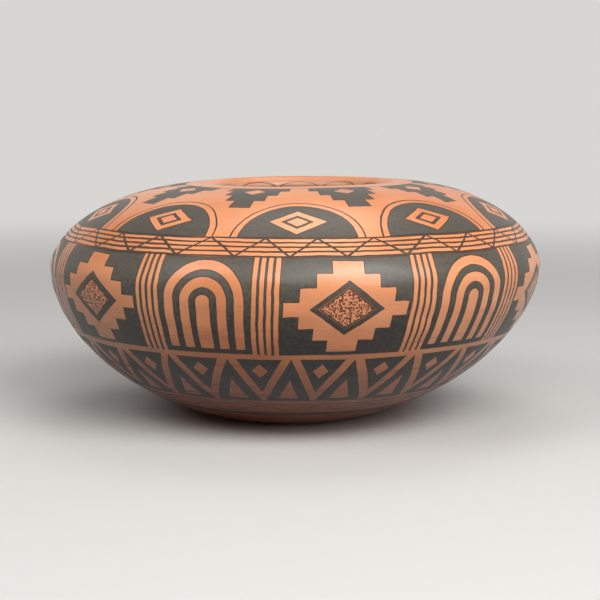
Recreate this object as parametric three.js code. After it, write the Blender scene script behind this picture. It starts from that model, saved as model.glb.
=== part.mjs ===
// A wide, low, hand-coiled pottery bowl with a turned-in shoulder and a small round mouth.
// The potter forms a pat of clay for the bottom, lays ropes of clay on it one above the other,
// and laps each rope over the inside of the one below. Every rope is a solid of its own here,
// scraped to its finished wall, and meets its neighbours along those slanting lap seams.
// Millimetres, +Z up, origin at the middle of the flat resting face.
import * as THREE from "three";

// Outside shape
const height = 119; // resting face to the crest of the lip
const bellyRadius = 125; // widest part
const bellyHeight = 78; // height of the widest part
const footRadius = 38; // flat resting face
const mouthRadius = 49; // where the shoulder ends and the lip turns in
const topLean = 5.4; // how far the mouth has drifted to +X as the ropes were laid by hand

// How full the curves are: the length of each curve's pull, and the slope that it leaves at
const footPull = 64.5;
const footSlope = THREE.MathUtils.degToRad(14.4);
const underBellyPull = 22;
const overBellyPull = 13;
const mouthPull = 53;
const mouthSlope = THREE.MathUtils.degToRad(1.2);

// Clay thickness
const floorThickness = 7; // at the middle of the bottom and where the wall starts
const lipThickness = 6.5; // where the wall ends at the mouth
const lipRoll = 4.5; // how far the rounded lip reaches in past mouthRadius
const lipSag = 0.4; // how far its innermost line sits below its middle, in half thicknesses

// Clay ropes
const patReach = 14; // how far up the wall the bottom pat's turned-up edge goes
const wallCoilCount = 11; // ropes between the pat and the rim
const seamLap = 4; // how far each rope laps down over the inside of the one below

// Facets
const turnSteps = 60; // round the axis
const courseSteps = 3; // up one rope
const lipSteps = 7; // round the lip
const floorSteps = 3; // across the bowl's floor inside

const axis = new THREE.Vector2(0, 0);

// The outer wall, from the foot's edge to the mouth, as two curves that meet upright at the belly.
function wallCurve() {
  const foot = new THREE.Vector2(footRadius, 0);
  const belly = new THREE.Vector2(bellyRadius, bellyHeight);
  const mouth = new THREE.Vector2(mouthRadius, height);
  const outer = new THREE.CurvePath();
  outer.add(
    new THREE.CubicBezierCurve(
      foot,
      new THREE.Vector2(Math.cos(footSlope), Math.sin(footSlope)).multiplyScalar(footPull).add(foot),
      new THREE.Vector2(0, -underBellyPull).add(belly),
      belly,
    ),
  );
  outer.add(
    new THREE.CubicBezierCurve(
      belly,
      new THREE.Vector2(0, overBellyPull).add(belly),
      new THREE.Vector2(Math.cos(mouthSlope), -Math.sin(mouthSlope)).multiplyScalar(mouthPull).add(mouth),
      mouth,
    ),
  );
  return outer;
}

const wall = wallCurve();
const wallLength = wall.getLength();

const thicknessAt = (reach) =>
  THREE.MathUtils.lerp(floorThickness, lipThickness, reach / wallLength);

// A point on the outer wall, at a distance from the foot's edge measured along the wall.
function outerPoint(reach) {
  return wall.getPointAt(reach / wallLength);
}

// The point on the inner wall straight through the clay from there.
function innerPoint(reach) {
  const along = wall.getTangentAt(reach / wallLength);
  return new THREE.Vector2(-along.y, along.x).multiplyScalar(thicknessAt(reach)).add(outerPoint(reach));
}

// Points on one face of the wall between two reaches, both ends included.
function facePoints(pointAt, from, to) {
  return Array.from({ length: courseSteps + 1 }, (_, step) =>
    pointAt(THREE.MathUtils.lerp(from, to, step / courseSteps)),
  );
}

// Seam number 0 is the top of the bottom pat, and the last one is where the lip begins.
const courseHeight = (wallLength - patReach) / (wallCoilCount + 1);
const seamReach = (seam) => patReach + seam * courseHeight;
const innerSeamReach = (seam) => seamReach(seam) - seamLap;

// The rounded lip: half an ellipse from the top of the wall round to its inside, ends left out.
function lipPoints() {
  const top = outerPoint(wallLength);
  const under = innerPoint(wallLength);
  const middle = top.clone().add(under).multiplyScalar(0.5);
  const half = top.clone().sub(middle);
  const inward = wall.getTangentAt(1).multiplyScalar(lipRoll);
  return Array.from({ length: lipSteps - 1 }, (_, step) => {
    const turn = (Math.PI * (step + 1)) / lipSteps;
    return middle
      .clone()
      .addScaledVector(half, Math.cos(turn) - lipSag * Math.sin(turn))
      .addScaledVector(inward, Math.sin(turn));
  });
}

// The bowl's floor inside: level at the axis, and easing into the wall's inner face.
function floorPoints() {
  const edge = innerPoint(0);
  const slope = wall.getTangentAt(0);
  const middle = new THREE.Vector2(axis.x, floorThickness);
  const bend = new THREE.Vector2(edge.x - (edge.y - middle.y) * (slope.x / slope.y), middle.y);
  return new THREE.QuadraticBezierCurve(edge, bend, middle).getPoints(floorSteps);
}

// Each level drifts to +X with its height, so that the foot stays where it stands.
const drift = new THREE.Matrix4().makeShear(0, 0, 0, 0, topLean / height, 0);

function turned(name, outline, colour) {
  const clay = new THREE.Mesh(
    new THREE.LatheGeometry(outline, turnSteps).rotateX(Math.PI / 2).applyMatrix4(drift),
    new THREE.MeshStandardMaterial({ color: colour, roughness: 0.55, metalness: 0 }),
  );
  clay.name = name;
  return clay;
}

function bottomPat() {
  const inner = facePoints(innerPoint, 0, innerSeamReach(0)).reverse();
  const outline = [
    axis.clone(),
    ...facePoints(outerPoint, 0, seamReach(0)),
    ...inner.slice(0, -1),
    ...floorPoints(),
  ];
  return turned("base_pat", outline, 0xb5643c);
}

function wallCoil(number) {
  const outer = facePoints(outerPoint, seamReach(number - 1), seamReach(number));
  const inner = facePoints(innerPoint, innerSeamReach(number - 1), innerSeamReach(number)).reverse();
  const name = `wall_coil_${String(number).padStart(2, "0")}`;
  return turned(name, [...outer, ...inner, outer[0].clone()], 0xdb8450);
}

function rimCoil() {
  const outer = facePoints(outerPoint, seamReach(wallCoilCount), wallLength);
  const inner = facePoints(innerPoint, innerSeamReach(wallCoilCount), wallLength).reverse();
  return turned("rim_coil", [...outer, ...lipPoints(), ...inner, outer[0].clone()], 0xdd8a58);
}

const bowl = new THREE.Group();
bowl.add(bottomPat());
for (let number = 1; number <= wallCoilCount; number += 1) bowl.add(wallCoil(number));
bowl.add(rimCoil());

export default bowl;
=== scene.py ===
import math

import bpy
import numpy as np
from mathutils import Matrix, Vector


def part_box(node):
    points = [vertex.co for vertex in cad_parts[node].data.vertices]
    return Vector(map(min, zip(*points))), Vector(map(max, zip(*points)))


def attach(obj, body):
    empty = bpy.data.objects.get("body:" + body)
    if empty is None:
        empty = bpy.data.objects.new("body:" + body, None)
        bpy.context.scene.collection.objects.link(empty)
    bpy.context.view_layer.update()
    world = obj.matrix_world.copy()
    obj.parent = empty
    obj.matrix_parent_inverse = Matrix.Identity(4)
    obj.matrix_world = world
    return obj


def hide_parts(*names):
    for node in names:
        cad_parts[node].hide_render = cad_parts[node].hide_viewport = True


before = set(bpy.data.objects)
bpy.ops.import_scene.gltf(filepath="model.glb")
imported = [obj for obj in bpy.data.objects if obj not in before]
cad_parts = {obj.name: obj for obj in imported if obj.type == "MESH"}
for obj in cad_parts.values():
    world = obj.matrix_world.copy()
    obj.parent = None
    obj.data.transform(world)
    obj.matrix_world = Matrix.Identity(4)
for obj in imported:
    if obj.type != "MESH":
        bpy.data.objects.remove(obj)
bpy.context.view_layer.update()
print("frame in:", len(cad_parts), "pieces of clay")

# A hand-coiled bowl seen from the front, which is -Y. Metres for the clay, millimetres for the painting.
mm = 0.001
mapSpan = 100  # mm of wall in one unit of the painting's map


def tone(red, green, blue):  # a colour as it looks on screen, 0 to 255
    linear = []
    for channel in (red, green, blue):
        share = channel / 255
        linear.append(share / 12.92 if share <= 0.04045 else ((share + 0.055) / 1.055) ** 2.4)
    return (*linear, 1.0)


# The clay wall

wall = {
    "footPull": 0.5166,  # how full the curves are, as shares of the belly radius
    "footSlope": math.radians(14.4),
    "underBellyPull": 0.1762,
    "overBellyPull": 0.104,
    "mouthPull": 0.424,
    "mouthSlope": math.radians(1.2),
    "bellyShare": 0.6555,  # height of the widest part, as a share of the whole height
    "floorThickness": 7 * mm,
    "lipThickness": 6.5 * mm,
    "lipRoll": 4.5 * mm,
    "lipSag": 0.4,  # how far the roundest part sits below the middle of the lip
    "seamLap": 4 * mm,
    "curveSteps": 1500,
}

handWork = {
    "tilt": 0.012,  # the right side of the mouth stands higher
    "tiltFade": 6,  # how quickly that dies away below the mouth
    "swell": 0.55 * mm,  # out of round
    "dip": 0.5 * mm,  # level wanders
    "scrape": 0.12 * mm,  # soft facets left by the scraper
    "fullAt": 12 * mm,  # the height at which swell and scrape are full
}

mesh = {
    "turnSteps": 300,
    "courseSteps": 9,
    "lipSteps": 12,
    "floorSteps": 8,
    "floorEye": 0.04,  # the innermost ring, as a share of the floor's radius
}


def cornersOf(node):
    return [v.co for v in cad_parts[node].data.vertices]


def radiusOf(node, level):  # of a CAD solid at a height, seen from the side, as the bowl leans to +X
    return max(abs(c.y) for c in cornersOf(node) if abs(c.z - level) < 0.01 * mm)


def leanOf(node):  # how far the bowl drifts to +X with each metre of height
    left = min(cornersOf(node), key=lambda c: c.x)
    right = max(cornersOf(node), key=lambda c: c.x)
    return (left.x + right.x) / (left.z + right.z)


coilNames = sorted(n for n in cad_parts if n.startswith("wall_coil_"))
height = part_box("rim_coil")[1].z
lean = leanOf("rim_coil")
footRadius = radiusOf("base_pat", 0)
mouthRadius = radiusOf("rim_coil", height)
bellyRadius = max(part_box(n)[1].y for n in coilNames)
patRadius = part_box("base_pat")[1].y


def bezier(points, steps):
    t = np.linspace(0, 1, steps)[:, None]
    a, b, c, d = (np.array(p, float) for p in points)
    return a * (1 - t) ** 3 + 3 * b * t * (1 - t) ** 2 + 3 * c * t**2 * (1 - t) + d * t**3


def wallCurve():  # radius and height of the outside, from the foot's edge to the mouth
    w = wall
    bellyHeight = height * w["bellyShare"]
    footPull = bellyRadius * w["footPull"]
    mouthPull = bellyRadius * w["mouthPull"]
    foot, belly, mouth = (footRadius, 0), (bellyRadius, bellyHeight), (mouthRadius, height)
    leave = (
        footRadius + footPull * math.cos(w["footSlope"]),
        footPull * math.sin(w["footSlope"]),
    )
    under = (bellyRadius, bellyHeight - bellyRadius * w["underBellyPull"])
    over = (bellyRadius, bellyHeight + bellyRadius * w["overBellyPull"])
    arrive = (
        mouthRadius + mouthPull * math.cos(w["mouthSlope"]),
        height - mouthPull * math.sin(w["mouthSlope"]),
    )
    lower = bezier((foot, leave, under, belly), w["curveSteps"])
    upper = bezier((belly, over, arrive, mouth), w["curveSteps"])
    return np.vstack([lower, upper[1:]])


outline = wallCurve()
outlineReach = np.concatenate([[0], np.cumsum(np.hypot(*np.diff(outline, axis=0).T))])
wallLength = outlineReach[-1]
outlineSlope = np.gradient(outline, outlineReach, axis=0)


def onOutline(reach):  # points and unit directions at distances up the wall
    at = [np.interp(reach, outlineReach, outline[:, k]) for k in (0, 1)]
    along = [np.interp(reach, outlineReach, outlineSlope[:, k]) for k in (0, 1)]
    along = np.array(along) / np.hypot(*along)
    return np.array(at).T, along.T


def outerFace(reach):
    return onOutline(reach)[0]


def innerFace(reach):
    at, along = onOutline(reach)
    thick = wall["floorThickness"] + (wall["lipThickness"] - wall["floorThickness"]) * (
        np.asarray(reach) / wallLength
    )
    return at + np.stack([-along[:, 1], along[:, 0]], 1) * thick[:, None]


patReach = np.interp(patRadius, outline[: wall["curveSteps"], 0], outlineReach[: wall["curveSteps"]])
courseHeight = (wallLength - patReach) / (len(coilNames) + 1)


def lip():  # half an ellipse from the top of the wall round to its inside
    top, under = outerFace([wallLength])[0], innerFace([wallLength])[0]
    inward = onOutline([wallLength])[1][0] * wall["lipRoll"]
    turn = np.linspace(0, math.pi, mesh["lipSteps"] + 1)[1:-1, None]
    down = np.cos(turn) - wall["lipSag"] * np.sin(turn)
    return (top + under) / 2 + (top - under) / 2 * down + inward * np.sin(turn)


def handMade(across, up, turn):  # where a point of the true wall lies on this bowl
    share = up / height
    rise = np.clip(up / handWork["fullAt"], 0, 1)
    swell = handWork["swell"] * (
        np.sin(2 * turn + 0.6) + 0.5 * np.sin(3 * turn - 1.1) + 0.3 * np.sin(5 * turn + 2)
    )
    scrape = handWork["scrape"] * (
        np.sin(9 * turn + up * 310) * np.sin(up * 190 + 1)
        + np.sin(14 * turn - up * 230 + 2) * np.sin(up * 260)
        + 0.7 * np.sin(23 * turn + up * 150) * np.sin(up * 420 + 2)
    )
    across = across + (swell * share + scrape) * rise * np.clip(across / footRadius, 0, 1)
    dip = handWork["dip"] * (np.sin(turn - 0.4) + 0.5 * np.sin(2 * turn + 1) + 0.3 * np.sin(4 * turn))
    x = across * np.sin(turn) + lean * up
    y = -across * np.cos(turn)
    tilt = handWork["tilt"] * across * np.sin(turn) * share ** handWork["tiltFade"]
    return np.stack([x, y, up + tilt + dip * (across / bellyRadius) * share], -1)


def carryRound(section):  # a stretch of section turned round the axis, with its outward directions
    turn = np.linspace(0, 2 * math.pi, mesh["turnSteps"], endpoint=False) - math.pi
    grid = handMade(section[:, :1], section[:, 1:], turn[None, :])
    up = grid[2:] - grid[:-2]
    side = np.roll(grid, -1, 1) - np.roll(grid, 1, 1)
    facing = np.cross(side[1:-1], up)
    facing /= np.linalg.norm(facing, axis=2, keepdims=True)
    return grid[1:-1], facing


def beyond(section):  # adds a point past each end, so that every real point has two neighbours
    return np.vstack([2 * section[0] - section[1], section, 2 * section[-1] - section[-2]])


class Clay:  # one closed piece: stretches of wall joined by plain seams
    def __init__(self, name):
        self.name = name
        self.points, self.facing, self.reach, self.stretches = [], [], [], []
        self.rows = 0

    def stretch(self, section, reach, material):  # section holds one spare point at each end
        grid, facing = carryRound(section)
        self.points.append(grid)
        self.facing.append(facing)
        self.reach.append(reach)
        self.stretches.append((self.rows, len(grid), material))
        self.rows += len(grid)

    def build(self, materials, bottom=None, middle=None):
        steps = mesh["turnSteps"]
        points = list(np.concatenate(self.points).reshape(-1, 3))
        facing = np.concatenate(self.facing)
        reach = np.concatenate(self.reach) / (mapSpan * mm)
        faces, paint, flat = [], [], []

        def strip(low, high, material, smooth):
            for j in range(steps):
                k = (j + 1) % steps
                faces.append((low * steps + j, low * steps + k, high * steps + k, high * steps + j))
                paint.append(material)
                flat.append(not smooth)

        for start, count, material in self.stretches:
            for row in range(start, start + count - 1):
                strip(row, row + 1, material, True)
        for here, after in zip(self.stretches, self.stretches[1:]):
            strip(here[0] + here[1] - 1, after[0], after[2], False)
        ends = (0, self.rows - 1)
        if bottom is None:
            strip(self.rows - 1, 0, self.stretches[-1][2], False)
        else:
            for row, centre, material in ((ends[1], middle, 1), (ends[0], bottom, 2)):
                points.append(centre)
                for j in range(steps):
                    pair = (row * steps + j, row * steps + (j + 1) % steps)
                    pair = pair if row else pair[::-1]
                    faces.append((*pair, len(points) - 1))
                    paint.append(material)
                    flat.append(row == 0)

        made = bpy.data.meshes.new(self.name)
        made.from_pydata([Vector(p) for p in points], [], faces)
        made.polygons.foreach_set("material_index", paint)
        made.polygons.foreach_set("use_smooth", [True] * len(faces))
        turns, reaches, normals = self.cornerValues(made, facing, reach, flat)
        layer = made.uv_layers.new(name="wall")
        layer.uv.foreach_set("vector", np.stack([turns, reaches], 1).astype(np.float32).ravel())
        made.normals_split_custom_set(normals)
        for material in materials:
            made.materials.append(material)
        made.update()
        return bpy.data.objects.new(self.name, made)

    def cornerValues(self, made, facing, reach, flat):
        steps = mesh["turnSteps"]
        grid = self.rows * steps
        turns, reaches, normals = [], [], []
        for face in made.polygons:
            corners = list(face.vertices)
            wraps = {c % steps for c in corners if c < grid}
            over = 0 in wraps and steps - 1 in wraps
            for c in corners:
                column = c % steps if c < grid else min(wraps)
                turns.append((column + (steps if over and column == 0 else 0)) / steps)
                reaches.append(reach[c // steps] if c < grid else reach[0 if face.normal.z < 0 else -1])
                if flat[face.index]:
                    normals.append(face.normal)
                elif c < grid:
                    normals.append(facing[c // steps, c % steps])
                else:
                    normals.append((0, 0, 1))
        return np.array(turns), np.array(reaches), [tuple(n) for n in normals]


def faceReaches(low, high, steps):  # with a spare one past each end
    step = (high - low) / steps
    return np.linspace(low - step, high + step, steps + 3)


def buildBowl(paintedSlip, insideClay, bareClay):
    pieces = []
    materials = (paintedSlip, insideClay, bareClay)
    steps = mesh["courseSteps"]
    lap = wall["seamLap"]
    inner = wallLength * 2  # the painting's map runs on over the lip and down the inside
    seam = patReach

    pat = Clay("bowl_base")
    outside = faceReaches(0, seam, steps)
    pat.stretch(beyond(outerFace(outside[1:-1])), outside[1:-1], 0)
    edge = innerFace([0.0])[0]
    thick = wall["floorThickness"]
    floor = np.linspace(1, mesh["floorEye"], mesh["floorSteps"])[1:, None]
    sunk = np.hstack([edge[0] * floor, thick + (edge[1] - thick) * floor**2])
    inside = innerFace(np.linspace(seam - lap, 0, steps + 1))
    section = np.vstack([inside, sunk])
    pat.stretch(beyond(section), np.linspace(inner - seam + lap, inner + edge[0], len(section)), 1)
    pieces.append((pat.build(materials, (0, 0, 0), (0, 0, thick)), "base_pat", "bare_clay"))

    for name in coilNames:
        top = seam + courseHeight
        coil = Clay(name.replace("wall_coil", "bowl_wall"))
        outside = faceReaches(seam, top, steps)
        coil.stretch(outerFace(outside), outside[1:-1], 0)
        inside = faceReaches(seam - lap, top - lap, steps)[::-1]
        coil.stretch(innerFace(inside), inner - inside[1:-1], 1)
        pieces.append((coil.build(materials), name, "painted_slip"))
        seam = top

    rim = Clay("bowl_rim")
    outside = faceReaches(seam, wallLength, steps)[:-1]
    inside = faceReaches(seam - lap, wallLength, steps)[-2::-1]
    section = np.vstack([outerFace(outside), lip(), innerFace(inside)])
    run = np.concatenate([[0], np.cumsum(np.hypot(*np.diff(section, axis=0).T))])
    rim.stretch(section, (seam + run - run[1])[1:-1], 0)
    pieces.append((rim.build(materials), "rim_coil", "painted_slip"))

    for made, node, slot in pieces:
        bpy.context.scene.collection.objects.link(made)
        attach(made, "root")
        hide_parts(node)
    print("clay turned:", len(pieces), "pieces")


# Painting


class Val:  # wraps a socket, so that sums on it read as sums
    def __init__(self, tree, socket):
        self.tree = tree
        self.socket = socket

    def math(self, operation, *others):
        return self.tree.node("Math", {"operation": operation}, [self, *others])

    def __add__(self, other):
        return self.math("ADD", other)

    def __sub__(self, other):
        return self.math("SUBTRACT", other)

    def __mul__(self, other):
        return self.math("MULTIPLY", other)

    def __truediv__(self, other):
        return self.math("DIVIDE", other)

    def __rsub__(self, other):
        return self.tree.node("Math", {"operation": "SUBTRACT"}, [other, self])

    def __abs__(self):
        return self.math("ABSOLUTE")

    def __neg__(self):
        return self * -1

    __radd__ = __add__
    __rmul__ = __mul__


class Tree:  # one material's nodes
    def __init__(self, name):
        self.material = bpy.data.materials.new(name)
        self.material.use_nodes = True
        self.nodes = self.material.node_tree.nodes
        self.links = self.material.node_tree.links
        self.nodes.clear()

    def node(self, kind, settings=None, inputs=(), output=0):
        made = self.nodes.new("ShaderNode" + kind)
        for key, value in (settings or {}).items():
            setattr(made, key, value)
        for key, value in inputs.items() if isinstance(inputs, dict) else enumerate(inputs):
            if isinstance(value, Val):
                self.links.new(value.socket, made.inputs[key])
            else:
                made.inputs[key].default_value = value
        return Val(self, made.outputs[output]) if made.outputs else None

    def noise(self, place, scale, detail=2.0, roughness=0.5, output="Fac"):
        values = {"Vector": place, "Scale": scale, "Detail": detail, "Roughness": roughness}
        return self.node("TexNoise", None, values, output)

    def mix(self, share, low, high):
        return self.node("Mix", {"data_type": "RGBA"}, {0: share, 6: low, 7: high}, 2)

    def stretch(self, value, low, high):  # 0 at low, 1 at high, eased between
        inputs = {0: value, 1: low, 2: high, 3: 0.0, 4: 1.0}
        return self.node("MapRange", {"interpolation_type": "SMOOTHSTEP"}, inputs)

    def split(self, value):
        return [self.node("SeparateXYZ", None, [value], k) for k in range(3)]

    def join(self, x, y, z):
        return self.node("CombineXYZ", None, [x, y, z])

    def finish(self, colour, rough, relief, strength, depth):
        values = {"Strength": strength, "Distance": depth, "Height": relief}
        bump = self.node("Bump", None, values, "Normal")
        values = {"Base Color": colour, "Roughness": rough, "Normal": bump}
        self.node("OutputMaterial", None, {"Surface": self.node("BsdfPrincipled", None, values)})
        return self.material


def least(*values):
    found = values[0]
    for value in values[1:]:
        found = found.math("MINIMUM", value)
    return found


def most(*values):
    found = values[0]
    for value in values[1:]:
        found = found.math("MAXIMUM", value)
    return found


# Shapes: how far inside each one a point lies, in mm, and the measures that they use


def slab(x, half):
    return half - abs(x)


def stroke(x, width):
    return slab(x, width / 2)


def box(x, y, halfX, halfY):
    return least(slab(x, halfX), slab(y, halfY))


def away(x, y):  # distance from a point
    return (x * x + y * y).math("SQRT")


def disc(x, y, radius):
    return radius - away(x, y)


def diamond(x, y, halfX, halfY):
    depth = 1 / math.hypot(1 / halfX, 1 / halfY)  # from its middle to a side
    return depth - abs(x) * (depth / halfX) - abs(y) * (depth / halfY)


def wedge(x, y, halfBase, tall):  # an upright triangle standing on y = 0
    slant = math.hypot(halfBase, tall)
    side = halfBase * tall / slant - abs(x) * (tall / slant) - y * (halfBase / slant)
    return least(side, y)


def halfMoon(x, y, halfX, tall):  # a half oval standing on y = 0
    return least((1 - away(x * (1 / halfX), y * (1 / tall))) * min(halfX, tall), y)


def repeat(x, pitch):
    return x.math("WRAP", pitch / 2, -pitch / 2)


def zigzag(x, pitch, tall):  # rises to tall and falls back in each pitch
    return x.math("PINGPONG", pitch / 2) * (2 * tall / pitch)


def terrace(x, y, halfBase, tall, steps):  # a stepped mound standing on y = 0
    across, found = abs(x), None
    for k in range(steps):
        top = tall * (k + 1) / steps
        step = least(halfBase * (1 - k / steps) - across, top - y)
        found = step if found is None else most(found, step)
    return least(found, y)


painting = {  # places are mm up the wall from the foot's edge, and sizes are mm on it
    "line": 1.0,
    "fineLine": 0.8,
    "mouthLine": 207,
    "shoulderLow": 150.8,
    "moons": 10,  # on the shoulder, with a stepped block hanging between each two
    "moon": (25, 26),  # half width and height, as for the blocks
    "moonMiddle": 12,  # how far up a moon its width is true
    "moonMargin": 3,
    "moonGem": (13, 9),  # half width and half height, as for every diamond
    "moonGemRise": 11.5,
    "gemRing": 3,  # how far in a nested diamond's dark ring starts, and its pale heart
    "gemHeart": 4.6,
    "block": (18, 32),
    "blockMiddle": 15,
    "blockGem": (6, 5),
    "blockGemDrop": 9,
    "steps": 4,  # in each stepped block and lozenge
    "bandMiddle": 145.1,
    "bandLines": 5,
    "bandPitch": 2.62,
    "bandZigzags": 28,
    "bandStart": 1.2,  # degrees
    "bandSway": 0.6,  # degrees that the zigzag strays, and how often in a turn
    "bandSways": 7,
    "panels": (91.4, 139.4),  # lower and upper edge, as for the teeth
    "panelPairs": 6,  # a stepped lozenge and a nest of arches in each
    "panelStart": 11,  # degrees round from the front
    "lozengeHalf": 30,  # half widths; the arch panels take what is left
    "uprightsHalf": 6.2,
    "steppedGem": (28, 22),
    "darkGem": (17, 13),
    "stippledGem": (13, 10),
    "arches": (16.8, 8.8),  # radii
    "archLine": 4.4,
    "archHeart": 3.2,
    "archSpring": 3,  # above the panel's middle
    "archFoot": 3,  # above the panel's lower edge
    "uprightLines": 3,
    "uprightPitch": 3.4,
    "uprightWidth": 1.3,
    "teeth": (53.4, 88.4),
    "toothCount": 24,
    "toothGap": 0.6,
    "toothHollow": (5, 17),  # half base and height
    "toothHollowRise": 3.4,
    "hungGap": 3.8,
    "hungTall": 1.45,  # as a share of half the row's height
    "hungGem": (3.4, 4.8),
    "hungGemDrop": 8,
    "lowLine": 49.6,
    "footZigzags": 20,
    "footZigzagLow": 41.4,
    "footZigzagTall": 6,
    "footZigzagSlope": 0.9,  # about the cosine of its slant, which keeps its line as wide as the others
    "footLine": 35.2,
    "footLineWidth": 4,
    "lipArcs": 12,
    "lipRadius": 46,  # where a degree round the lip is measured
    "lipReach": 9.6,  # how far past the wall's end the arcs stand
    "lipArcTall": 5,
    "lipArcLine": 0.4,
    "lipDot": 0.8,
    "lipDotRise": 1.2,
}

degree = math.pi / 180


def perDegree(reach):  # how far a degree goes round the wall there
    return onOutline([reach * mm])[0][0][0] / mm * degree


def middleOf(ends):
    return (ends[0] + ends[1]) / 2


def rowOf(reach, ends):
    return reach - middleOf(ends), (ends[1] - ends[0]) / 2


def band(turn, reach):  # fine lines crossed by a zigzag
    p = painting
    across = reach - p["bandMiddle"]
    lines = stroke(repeat(across, p["bandPitch"]), p["line"])
    lines = least(lines, slab(across, p["bandLines"] / 2 * p["bandPitch"]))
    scale = perDegree(p["bandMiddle"])
    pitch = 360 / p["bandZigzags"] * scale
    tall = (p["bandLines"] - 1) * p["bandPitch"]
    sway = (turn * (p["bandSways"] * degree)).math("SINE") * p["bandSway"]
    drawn = turn + p["bandStart"] + sway  # so that no two strokes are quite alike
    climb = zigzag(drawn * scale, pitch, tall) - tall / 2
    slope = math.cos(math.atan2(2 * tall, pitch))
    return most(lines, stroke((across - climb) * slope, p["line"]))


def foot(turn, reach):
    p = painting
    line = stroke(reach - p["lowLine"], p["line"])
    scale = perDegree(p["footZigzagLow"] + p["footZigzagTall"] / 2)
    climb = zigzag(turn * scale, 360 / p["footZigzags"] * scale, p["footZigzagTall"])
    zigzags = stroke((reach - p["footZigzagLow"] - climb) * p["footZigzagSlope"], p["line"])
    heavy = stroke(reach - p["footLine"], p["footLineWidth"])
    return most(line, zigzags, heavy)


def panelAcross(turn, share):  # mm from the middle of the nearest panel, share of a pair further round
    pitch = 360 / painting["panelPairs"]
    start = painting["panelStart"] + share * pitch
    return repeat(turn - start, pitch) * perDegree(middleOf(painting["panels"]))


def lozenges(turn, reach):  # stepped lozenges, each round a stippled diamond
    p = painting
    y, tall = rowOf(reach, p["panels"])
    x = panelAcross(turn, 0)
    stippled = diamond(x, y, *p["stippledGem"])
    outline = least(stippled, p["fineLine"] - stippled)
    overlap = 3  # joins the two halves of a lozenge without a line between them
    wide, high = p["steppedGem"]
    stepped = terrace(x, abs(y) + overlap, wide, high + overlap, p["steps"])
    ring = diamond(x, y, *p["darkGem"])
    paint = least(box(x, y, p["lozengeHalf"], tall), -least(stepped, -ring))
    return most(least(paint, -stippled), outline), stippled


def arches(turn, reach):
    p = painting
    y, tall = rowOf(reach, p["panels"])
    x = panelAcross(turn, 0.5)
    half = 180 / p["panelPairs"] * perDegree(middleOf(p["panels"])) - p["lozengeHalf"] - 2 * p["uprightsHalf"]
    rise = away(x, (y - p["archSpring"]).math("MAXIMUM", 0))
    nest = most(*[stroke(rise - radius, p["archLine"]) for radius in p["arches"]], p["archHeart"] - rise)
    return least(box(x, y, half, tall), -least(nest, y + tall - p["archFoot"]))


def uprights(turn, reach):  # three lines on each side of a lozenge
    p = painting
    y, tall = rowOf(reach, p["panels"])
    x = abs(panelAcross(turn, 0)) - p["lozengeHalf"] - p["uprightsHalf"]
    lines = stroke(repeat(x, p["uprightPitch"]), p["uprightWidth"])
    return least(lines, slab(x, p["uprightLines"] / 2 * p["uprightPitch"]), slab(y, tall))


def teeth(turn, reach):  # standing triangles, with a smaller one hanging between each two
    p = painting
    y, tall = rowOf(reach, p["teeth"])
    scale = perDegree(middleOf(p["teeth"]))
    pitch = 360 / p["toothCount"] * scale
    x = repeat(turn * scale, pitch)
    tooth = wedge(x, y + tall, pitch / 2 - p["toothGap"], 2 * tall)
    tooth = least(tooth, -wedge(x, y + tall - p["toothHollowRise"], *p["toothHollow"]))
    x = repeat(turn * scale - pitch / 2, pitch)
    hung = wedge(x, tall - y, pitch / 2 - p["hungGap"], p["hungTall"] * tall)
    hung = least(hung, -diamond(x, y - tall + p["hungGemDrop"], *p["hungGem"]))
    return most(tooth, hung)


def halfMoons(turn, reach):  # on the shoulder, each with a nested diamond and a fine line round it
    p = painting
    y = reach - p["shoulderLow"]
    x = repeat(turn, 360 / p["moons"]) * perDegree(p["shoulderLow"] + p["moonMiddle"])
    moon = halfMoon(x, y, *p["moon"])
    gem = diamond(x, y - p["moonGemRise"], *p["moonGem"])
    gem = most(least(gem, p["gemRing"] - gem), gem - p["gemHeart"])
    return most(least(moon, -gem), least(stroke(moon + p["moonMargin"], p["fineLine"]), y))


def hanging(turn, reach):  # stepped blocks that hang from a fine line near the mouth
    p = painting
    pitch = 360 / p["moons"]
    y = p["mouthLine"] - reach
    x = repeat(turn - pitch / 2, pitch) * perDegree(p["mouthLine"] - p["blockMiddle"])
    block = least(terrace(x, y, *p["block"], p["steps"]), -diamond(x, y - p["blockGemDrop"], *p["blockGem"]))
    return most(block, stroke(y, p["fineLine"]))


def lipArcs(turn, reach):  # shallow arcs inside the lip, with a dot between each two
    p = painting
    scale = p["lipRadius"] * degree
    pitch = 360 / p["lipArcs"] * scale
    x = turn * scale
    y = wallLength / mm + p["lipReach"] - reach
    tall = p["lipArcTall"]
    arc = (away(repeat(x, pitch) * (2 / pitch), y * (1 / tall)) - 1) * tall
    dot = disc(repeat(x - pitch / 2, pitch), y - p["lipDotRise"], p["lipDot"])
    return most(least(stroke(arc, p["lipArcLine"]), y), dot)


def paintedWall(turn, reach):
    paint, stippled = lozenges(turn, reach)
    for part in (arches, uprights, teeth, halfMoons, hanging, band, foot, lipArcs):
        paint = most(paint, part(turn, reach))
    return paint, stippled


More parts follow.
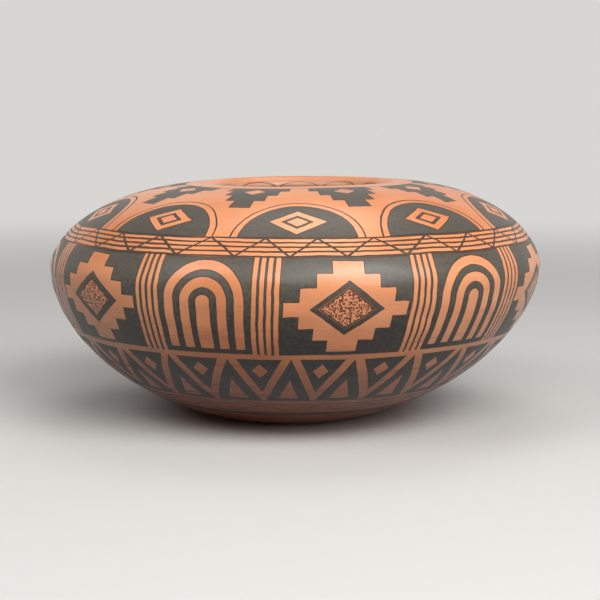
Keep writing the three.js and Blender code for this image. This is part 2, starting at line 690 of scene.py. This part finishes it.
slip = {
    "pale": tone(249, 174, 127),
    "mid": tone(241, 158, 109),
    "deep": tone(225, 137, 88),
    "low": tone(184, 88, 44),  # darker and richer towards the foot, a painted shade for the shaded lower wall
    "mouth": tone(208, 154, 124),  # wiped but not burnished, inside the lip
    "paint": tone(20, 16, 11),
    "paintWornAndSheen": tone(95, 88, 78),  # lighter paint, in the brush's mottling and as a painted sheen that grows towards the shoulder
    "paintEdge": tone(60, 40, 28),
    "paintMouth": tone(120, 80, 60),
    "speck": tone(110, 60, 40),
    "stipple": tone(98, 54, 40),
    "wobble": 0.55,  # about how many mm a stroke strays slowly, and how many the brush shakes it
    "brush": 0.13,
    "press": 0.5,  # mm that a stroke swells and thins, at most
    "edge": 0.13,  # mm on each side of its edge over which it fades
    "wobbleScale": 28.0,  # scales are about how often each thing changes in a metre
    "brushScale": 230.0,
    "cloudScale": 14.0,
    "lumpScale": 60.0,
    "bristleScale": 520.0,
    "grainScale": 900.0,
    "polishShare": 0.05,  # of the slip's unevenness, in level bands; the rest is cloudy
    "roughness": 0.28,
    "footShade": (1.15, 0.3),  # where the low colour's painted shade starts and is full, in map units up the wall
    "paintSheen": (0.95, 1.38),  # and where the paint's painted sheen starts, and is full
    "mouthFade": (0.02, 0.05),  # and where the mouth's colours do, past the wall's end
    "dabAcross": 2.12,  # mm in a degree
    "dabColumns": 4.1,  # mm apart
    "dabSquash": 0.75,  # under 1, so that a dab is taller than wide
    "dabScale": 1.1,
    "dabGather": 0.08,  # how strongly the columns draw them
    "dabFrom": 0.45,  # a dab's edge
    "dabTo": 0.49,
}


def dabs(tree, turn, reach):  # small dabs of the brush's tip, closer together in upright columns
    s = slip
    x = turn * s["dabAcross"]
    column = abs(repeat(x, s["dabColumns"])) * (2 / s["dabColumns"])
    dab = tree.noise(tree.join(x, reach * s["dabSquash"], 0.0), s["dabScale"], 1.0, 0.6)
    return tree.stretch(dab - column * s["dabGather"], s["dabFrom"], s["dabTo"])


def makePaintedSlip():
    s = slip
    tree = Tree("paintedSlip")
    at = tree.node("UVMap", {"uv_map": "wall"})
    u, v, _ = tree.split(at)
    spot = tree.node("TexCoord", None, (), "Object")
    x, y, _ = tree.split(spot)
    radius = away(x, y) * (1 / mm)
    loose = tree.split(tree.noise(spot, s["wobbleScale"], 1.0, output="Color"))
    fine = tree.split(tree.noise(spot, s["brushScale"], 1.0, output="Color"))
    shiftX = (loose[0] - 0.5) * (4 * s["wobble"]) + (fine[0] - 0.5) * (4 * s["brush"])
    shiftY = (loose[1] - 0.5) * (4 * s["wobble"]) + (fine[1] - 0.5) * (4 * s["brush"])
    turn = (u - 0.5) * 360 + shiftX / radius * (1 / degree)
    reach = v * mapSpan + shiftY
    inside, stippled = paintedWall(turn, reach)
    inside = inside + (loose[2] - 0.5) * s["press"]
    cover = tree.stretch(inside, -s["edge"], s["edge"])

    broad = tree.noise(spot, s["cloudScale"], 3.0)
    polish = tree.noise(tree.join(x * 12, y * 12, v * 25), 1.0, 1.0)
    tint = broad * (1 - s["polishShare"]) + polish * s["polishShare"]
    ground = tree.mix(tree.stretch(tint, 0.34, 0.52), s["deep"], s["mid"])
    ground = tree.mix(tree.stretch(tint, 0.5, 0.68), ground, s["pale"])
    # painted shade: the slip turns darker and richer towards the foot
    ground = tree.mix(tree.stretch(v, *s["footShade"]) * 0.9, ground, s["low"])
    wallEnd = wallLength / (mapSpan * mm)
    mouth = tree.stretch(v, *[wallEnd + past for past in s["mouthFade"]])
    ground = tree.mix(mouth, ground, s["mouth"])
    grain = tree.noise(spot, s["grainScale"], 2.0)
    ground = tree.mix(tree.stretch(grain, 0.7, 0.78) * 0.5, ground, s["speck"])

    dabbed = dabs(tree, turn, reach) * tree.stretch(stippled, 0, 0.5)
    ground = tree.mix(dabbed, ground, s["stipple"])

    bristles = tree.noise(spot, s["bristleScale"], 3.0, 0.6)
    # the paint lightens in the bristles' mottling, and with a painted sheen higher up the wall
    rubbedAndSheen = bristles * 0.6 + tree.stretch(v, *s["paintSheen"]) * 0.4
    wornAndSheen = tree.mix(tree.stretch(rubbedAndSheen, 0.2, 0.8), s["paint"], s["paintWornAndSheen"])
    dark = tree.mix(tree.stretch(inside, 0.15, 0.6), s["paintEdge"], wornAndSheen)
    dark = tree.mix(mouth, dark, s["paintMouth"])
    colour = tree.mix(cover, ground, dark)

    rough = s["roughness"] + (polish - 0.5) * 0.06 + cover * (bristles * 0.22)
    relief = tree.noise(spot, s["lumpScale"], 3.0) * 0.7 + grain * 0.12
    return tree.finish(colour, rough, relief, 0.25, 0.0006)


insideLook = {
    "low": tone(196, 124, 90),  # in the wiping marks
    "high": tone(218, 150, 116),
    "stain": tone(190, 112, 78),
}


def makeInsideClay():
    tree = Tree("insideClay")
    spot = tree.node("TexCoord", None, (), "Object")
    x, y, z = tree.split(spot)
    wiped = tree.noise(tree.join(x * 10, y * 10, z * 240), 1.0, 5.0, 0.6)
    broad = tree.noise(spot, 16.0, 3.0)
    colour = tree.mix(tree.stretch(wiped, 0.3, 0.7), insideLook["low"], insideLook["high"])
    colour = tree.mix(tree.stretch(broad, 0.5, 0.7) * 0.5, colour, insideLook["stain"])
    grain = tree.noise(spot, 700.0, 2.0)
    return tree.finish(colour, 0.5 + grain * 0.4, wiped + grain * 0.4, 0.6, 0.001)


bareLook = {
    "low": tone(188, 112, 76),
    "high": tone(214, 138, 98),
    "scuff": tone(222, 168, 134),
    "edge": tone(170, 108, 84),
    "edgeFrom": 0.033,  # from the middle of the flat
    "edgeTo": 0.038,
}


def makeBareClay():
    look = bareLook
    tree = Tree("bareClay")
    spot = tree.node("TexCoord", None, (), "Object")
    x, y, z = tree.split(spot)
    broad = tree.noise(spot, 30.0, 3.0)
    grain = tree.noise(spot, 600.0, 3.0)
    scuffs = tree.noise(tree.join(x * 900, y * 60, z), 1.0, 3.0)
    colour = tree.mix(tree.stretch(broad, 0.35, 0.65), look["low"], look["high"])
    colour = tree.mix(tree.stretch(scuffs, 0.6, 0.7) * 0.6, colour, look["scuff"])
    edge = tree.stretch(away(x, y), look["edgeFrom"], look["edgeTo"])
    colour = tree.mix(edge * 0.4, colour, look["edge"])
    return tree.finish(colour, 0.6 + grain * 0.3, grain + scuffs, 0.5, 0.0008)


buildBowl(makePaintedSlip(), makeInsideClay(), makeBareClay())
print("clay painted")

# The studio

studio = {
    "paper": tone(222, 220, 216),
    "paperShade": tone(84, 82, 80),  # how bright it is for the light that it throws back on the bowl
    "paperFar": tone(216, 214, 210),  # the far side, which is plain and even
    "straight": ("Camera", "Glossy", "Transmission"),  # the rays that see the paper's own colour
    "paperFlat": 1.8,  # how far out the sheet lies flat, in metres, how wide its bend is and its top
    "paperBend": 0.8,
    "paperTop": 1.5,
    "bendSteps": 16,
    "roundSteps": 72,
    "fadeFrom": 0.35,  # from the bowl's axis to where the paper starts to turn even, and is even
    "fadeTo": 1.4,
    "world": 0.16,
    "lamps": {  # place, width, height, watts
        "overhead": ((0.05, 0.4, 1.2), 0.8, 0.8, 2.4),
        "window": ((0.42, -1.04, 1.1), 2.0, 0.7, 15.5),
        "front": ((0.7, -1.0, 0.75), 1.0, 1.0, 8.5),
        "side": ((-0.9, -0.7, 1.0), 0.8, 0.8, 5),
    },
}


def addObject(name, data):
    made = bpy.data.objects.new(name, data)
    bpy.context.scene.collection.objects.link(made)
    return made


def makeFloor():  # a round sheet of paper that curves up on every side
    s = studio
    tree = Tree("paper")
    straight = most(*[tree.node("LightPath", None, (), f"Is {kind} Ray") for kind in s["straight"]])
    colour = tree.mix(straight, s["paperShade"], s["paper"])
    near = tree.node("BsdfPrincipled", None, {"Base Color": colour, "Roughness": 0.9})
    even = tree.node("Emission", None, {"Color": s["paperFar"]})
    x, y, _ = tree.split(tree.node("TexCoord", None, (), "Object"))
    far = tree.stretch(away(x, y), s["fadeFrom"], s["fadeTo"]) * straight
    shader = tree.node("MixShader", None, [far, near, even])
    tree.node("OutputMaterial", None, {"Surface": shader})
    bend = s["paperBend"]
    turns = [math.pi / 2 * k / s["bendSteps"] for k in range(s["bendSteps"] + 1)]
    curve = [(s["paperFlat"] + bend * math.sin(t), bend - bend * math.cos(t)) for t in turns]
    rows = [*curve, (s["paperFlat"] + bend, s["paperTop"])]
    steps = s["roundSteps"]
    around = [2 * math.pi * k / steps for k in range(steps)]
    points = [(out * math.sin(a), out * math.cos(a), up) for out, up in rows for a in around]
    faces = [tuple(reversed(range(steps)))]
    for row in range(len(rows) - 1):
        for k in range(steps):
            here, after = row * steps + k, row * steps + (k + 1) % steps
            faces.append((here, after, after + steps, here + steps))
    paper = bpy.data.meshes.new("paper")
    paper.from_pydata(points, [], faces)
    paper.shade_smooth()
    paper.materials.append(tree.material)
    addObject("paper", paper)


def makeLight():
    target = Vector((0, 0, height / 2))
    for name, (place, wide, tall, watts) in studio["lamps"].items():
        lamp = bpy.data.lights.new(name, "AREA")
        lamp.shape, lamp.size, lamp.size_y, lamp.energy = "ELLIPSE", wide, tall, watts
        light = addObject(name, lamp)
        light.location = place
        light.rotation_euler = (target - Vector(place)).to_track_quat("-Z", "Y").to_euler()
    world = bpy.data.worlds.new("studio")
    world.use_nodes = True
    sky = world.node_tree.nodes["Background"]
    sky.inputs["Color"].default_value = (1, 1, 1, 1)
    sky.inputs["Strength"].default_value = studio["world"]
    bpy.context.scene.world = world


viewpoint = {
    "away": 0.771,  # from the bowl's axis, in metres
    "above": 0.159,
    "aside": 0.006,
    "pitch": math.radians(7.5),
    "lens": 90,  # mm, and the width of the film
    "sensor": 36,
    "roll": math.radians(0.3),
}


def makeCamera():
    data = bpy.data.cameras.new("camera")
    data.lens, data.sensor_width = viewpoint["lens"], viewpoint["sensor"]
    camera = bpy.data.objects.new("camera", data)
    camera.location = (viewpoint["aside"], -viewpoint["away"], viewpoint["above"])
    camera.rotation_euler = (math.pi / 2 - viewpoint["pitch"], 0, 0)
    camera.rotation_euler.rotate_axis("Z", viewpoint["roll"])
    bpy.context.scene.collection.objects.link(camera)
    bpy.context.scene.camera = camera


makeFloor()
makeLight()
makeCamera()
bpy.context.scene.view_settings.view_transform = "Standard"
print("studio ready")
